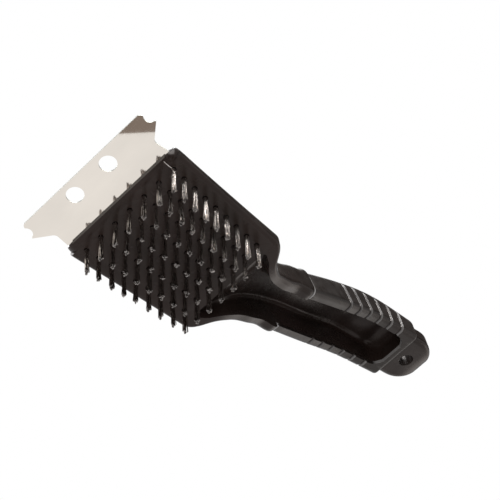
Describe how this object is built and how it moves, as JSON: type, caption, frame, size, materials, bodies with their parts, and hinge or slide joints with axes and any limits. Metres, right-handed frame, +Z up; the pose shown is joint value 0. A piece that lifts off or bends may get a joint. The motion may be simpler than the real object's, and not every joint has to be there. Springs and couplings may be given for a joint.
{
  "type": "grill cleaning brush",
  "caption": "Hand grill brush: rows of steel wire tufts in a plastic paddle, a notched stainless scraper plate at the front and a cranked handle with a ribbed grip.",
  "frame": {"origin": "bottom centre of the whole brush: the plane that its bristle tips stand on, midway along its length and width", "axes": "+Z up, away from the bristle tips; +X towards the scraper; +Y across the head"},
  "size_m": [0.243, 0.09, 0.0894],
  "materials": {
    "body_plastic": "satin moulded black",
    "grip_rubber": "soft matt black",
    "blade_steel": "polished stainless with a faint grain",
    "wire_steel": "drawn steel wire",
    "anchor_steel": "plain steel strip"
  },
  "bodies": {
    "root": {"anchor_row_1": "anchor_steel", "anchor_row_2": "anchor_steel", "anchor_row_3": "anchor_steel", "anchor_row_4": "anchor_steel", "anchor_row_5": "anchor_steel", "anchor_row_6": "anchor_steel", "anchor_row_7": "anchor_steel", "anchor_row_8": "anchor_steel", "anchor_row_9": "anchor_steel", "bristle_row_1": "wire_steel", "bristle_row_2": "wire_steel", "bristle_row_3": "wire_steel", "bristle_row_4": "wire_steel", "bristle_row_5": "wire_steel", "bristle_row_6": "wire_steel", "bristle_row_7": "wire_steel", "bristle_row_8": "wire_steel", "bristle_row_9": "wire_steel", "brush_body": "body_plastic", "grip_sleeve": "grip_rubber", "scraper_blade": "blade_steel"}
  },
  "joints": []
}
